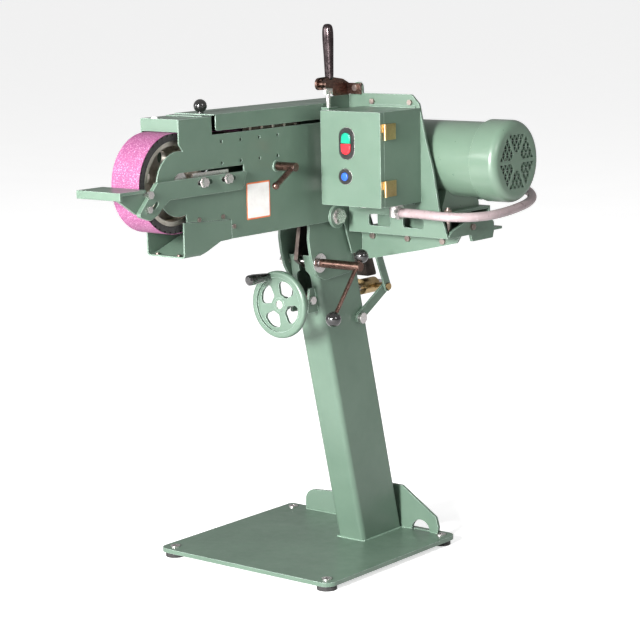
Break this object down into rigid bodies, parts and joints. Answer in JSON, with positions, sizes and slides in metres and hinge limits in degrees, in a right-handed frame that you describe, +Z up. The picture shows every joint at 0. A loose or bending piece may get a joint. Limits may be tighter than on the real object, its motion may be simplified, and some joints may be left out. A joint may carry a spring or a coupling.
{
  "type": "pedestal belt grinder",
  "caption": "Floor-standing belt grinder: base plate and leaning column carry a tilting arm with contact wheel, belt, tool rest, side motor and switch box.",
  "frame": {"origin": "centre of the four anchor holes, at the floor", "axes": "+Z up; -Y towards the operator and the contact wheel; +X towards the motor"},
  "size_m": [0.7663, 0.992, 1.2209],
  "materials": {
    "green_paint": "semi-gloss sage green powder paint",
    "zinc_steel": "bright zinc plate",
    "dark_steel": "dark brown-black oxide",
    "black_phenolic": "polished black phenolic",
    "foot_rubber": "moulded rubber",
    "tyre_rubber": "hard serrated rubber",
    "cast_aluminium": "turned cast aluminium",
    "abrasive_belt": "pink ceramic grain on cloth",
    "black_plastic": "moulded",
    "green_plastic": "moulded button",
    "red_plastic": "moulded button",
    "blue_plastic": "moulded button",
    "conduit_jacket": "grey PVC jacket",
    "fitting_metal": "die-cast fitting",
    "brass_metal": "worn brass"
  },
  "bodies": {
    "stand": {"base_plate": "green_paint", "floor_feet": "foot_rubber", "anchor_bushes": "zinc_steel", "column": "green_paint", "cheek_plates": "green_paint", "stand_pins": "zinc_steel", "tilt_pivot_bolt": "zinc_steel"},
    "head": {"arm_frame": "green_paint", "dust_chute": "green_paint", "arm_fasteners": "zinc_steel", "tilt_quadrant": "dark_steel", "contact_axle": "zinc_steel", "sanding_belt": "abrasive_belt", "platen": "dark_steel", "tension_spring": "dark_steel", "tension_plate": "dark_steel", "lid_hinge": "zinc_steel", "rest_clamp_bolts": "zinc_steel", "motor_bracket": "green_paint", "mount_bolts": "zinc_steel", "motor_base": "green_paint", "motor_shell": "green_paint", "motor_endbells": "green_paint", "fan_cover": "green_paint", "conduit_box": "green_paint", "conduit": "conduit_jacket", "conduit_fittings": "fitting_metal", "enclosure_box": "green_paint", "contactor": "black_plastic", "box_hinges": "brass_metal"},
    "lid": {"top_lid": "green_paint", "lid_knob": "black_phenolic"},
    "rest_bar": {"tool_rest_bar": "green_paint"},
    "table": {"rest_table": "green_paint", "table_bolts": "zinc_steel"},
    "contact_wheel": {"contact_tyre": "tyre_rubber", "contact_hub": "cast_aluminium"},
    "rotor": {"motor_rotor": "zinc_steel", "drive_wheel": "cast_aluminium", "motor_fan": "black_plastic"},
    "idler_slide": {"tension_rod": "zinc_steel"},
    "idler": {"idler_wheel": "cast_aluminium"},
    "tension_lever": {"tension_handle": "dark_steel"},
    "arm_clamp": {"clamp_lever": "dark_steel"},
    "door": {"enclosure_door": "green_paint", "button_bezel": "black_plastic", "door_hinges": "brass_metal"},
    "start": {"start_button": "green_plastic"},
    "stop": {"stop_button": "red_plastic"},
    "reset": {"reset_button": "blue_plastic"},
    "carrier": {"screw_carrier": "dark_steel"},
    "tilt_wheel": {"lead_screw": "zinc_steel", "handwheel": "green_paint"},
    "crank_grip": {"crank_handle": "black_phenolic"},
    "nut": {"screw_nut": "brass_metal"},
    "low_links": {"lower_links": "green_paint"},
    "high_links": {"upper_links": "green_paint", "link_spreader": "dark_steel"},
    "lock": {"lock_lever": "dark_steel", "lever_balls": "black_phenolic"}
  },
  "joints": [
    {"name": "head_tilt", "type": "hinge", "parent": "stand", "child": "head", "pos_m": [0.0715, -0.0333, 0.795], "axis": [1, 0, 0], "range_deg": [-12, 8]},
    {"name": "lid_open", "type": "hinge", "parent": "head", "child": "lid", "pos_m": [0.0715, 0.1942, 1.01], "axis": [-1, 0, 0], "range_deg": [0, 100]},
    {"name": "rest_reach", "type": "slide", "parent": "head", "child": "rest_bar", "axis": [0, 1, 0], "range_m": [-0.02, 0.002]},
    {"name": "table_tilt", "type": "hinge", "parent": "rest_bar", "child": "table", "pos_m": [0.0715, -0.6413, 0.903], "axis": [1, 0, 0], "range_deg": [0, 45]},
    {"name": "contact_spin", "type": "hinge", "parent": "head", "child": "contact_wheel", "pos_m": [0.0715, -0.5413, 0.9148], "axis": [1, 0, 0], "continuous": true},
    {"name": "drive_spin", "type": "hinge", "parent": "head", "child": "rotor", "pos_m": [0.0715, 0.1107, 0.9215], "axis": [1, 0, 0], "continuous": true},
    {"name": "idler_lift", "type": "slide", "parent": "head", "child": "idler_slide", "axis": [0, 0, 1], "range_m": [0, 0.0152], "deforming": ["tension_spring"]},
    {"name": "idler_spin", "type": "hinge", "parent": "idler_slide", "child": "idler", "pos_m": [0.0715, -0.0726, 0.871], "axis": [1, 0, 0], "continuous": true},
    {"name": "tension_release", "type": "hinge", "parent": "head", "child": "tension_lever", "pos_m": [0.0715, -0.0923, 1.0905], "axis": [1, 0, 0], "range_deg": [0, 45]},
    {"name": "arm_clamp_turn", "type": "hinge", "parent": "head", "child": "arm_clamp", "pos_m": [0.0715, -0.2359, 0.9247], "axis": [1, 0, 0], "range_deg": [-60, 60]},
    {"name": "door_open", "type": "hinge", "parent": "head", "child": "door", "pos_m": [0.3317, -0.1228, 0.922], "axis": [0, 0, 1], "range_deg": [0, 110]},
    {"name": "start_press", "type": "slide", "parent": "door", "child": "start", "axis": [0, 1, 0], "range_m": [0, 0.004], "stiffness_N_per_m": 400, "springref_m": -0.002},
    {"name": "stop_press", "type": "slide", "parent": "door", "child": "stop", "axis": [0, 1, 0], "range_m": [0, 0.004], "stiffness_N_per_m": 400, "springref_m": -0.002},
    {"name": "reset_press", "type": "slide", "parent": "door", "child": "reset", "axis": [0, 1, 0], "range_m": [0, 0.004], "stiffness_N_per_m": 400, "springref_m": -0.002},
    {"name": "carrier_swing", "type": "hinge", "parent": "stand", "child": "carrier", "pos_m": [0.0715, -0.0893, 0.611], "axis": [1, 0, 0], "range_deg": [-6, 6]},
    {"name": "wheel_turn", "type": "hinge", "parent": "carrier", "child": "tilt_wheel", "pos_m": [0.0715, -0.1693, 0.611], "axis": [0, 1, 0], "range_deg": [-620, 420]},
    {"name": "grip_spin", "type": "hinge", "parent": "tilt_wheel", "child": "crank_grip", "pos_m": [0.0465, -0.2113, 0.672], "axis": [0, 1, 0], "continuous": true},
    {"name": "nut_travel", "type": "slide", "parent": "carrier", "child": "nut", "axis": [0, 1, 0], "range_m": [-0.008, 0.011]},
    {"name": "lower_link_swing", "type": "hinge", "parent": "stand", "child": "low_links", "pos_m": [0.0715, 0.0587, 0.552], "axis": [1, 0, 0], "range_deg": [-13, 13]},
    {"name": "upper_link_swing", "type": "hinge", "parent": "head", "child": "high_links", "pos_m": [0.0715, 0.0787, 0.802], "axis": [1, 0, 0], "range_deg": [-18, 18]},
    {"name": "lock_turn", "type": "hinge", "parent": "stand", "child": "lock", "pos_m": [0.0715, -0.0843, 0.696], "axis": [1, 0, 0], "range_deg": [-60, 60]}
  ],
  "couplings": [
    {"joint": "lower_link_swing", "follows": "head_tilt", "ratio": 0.8944},
    {"joint": "upper_link_swing", "follows": "head_tilt", "ratio": -1.2218},
    {"joint": "carrier_swing", "follows": "head_tilt", "ratio": 0.367},
    {"joint": "nut_travel", "follows": "head_tilt", "m_per_rad": -0.04668},
    {"joint": "wheel_turn", "follows": "head_tilt", "ratio": 48.883},
    {"joint": "contact_spin", "follows": "drive_spin", "ratio": 0.625},
    {"joint": "idler_spin", "follows": "drive_spin", "ratio": 2},
    {"joint": "idler_lift", "follows": "tension_release", "m_per_rad": 0.01902}
  ]
}
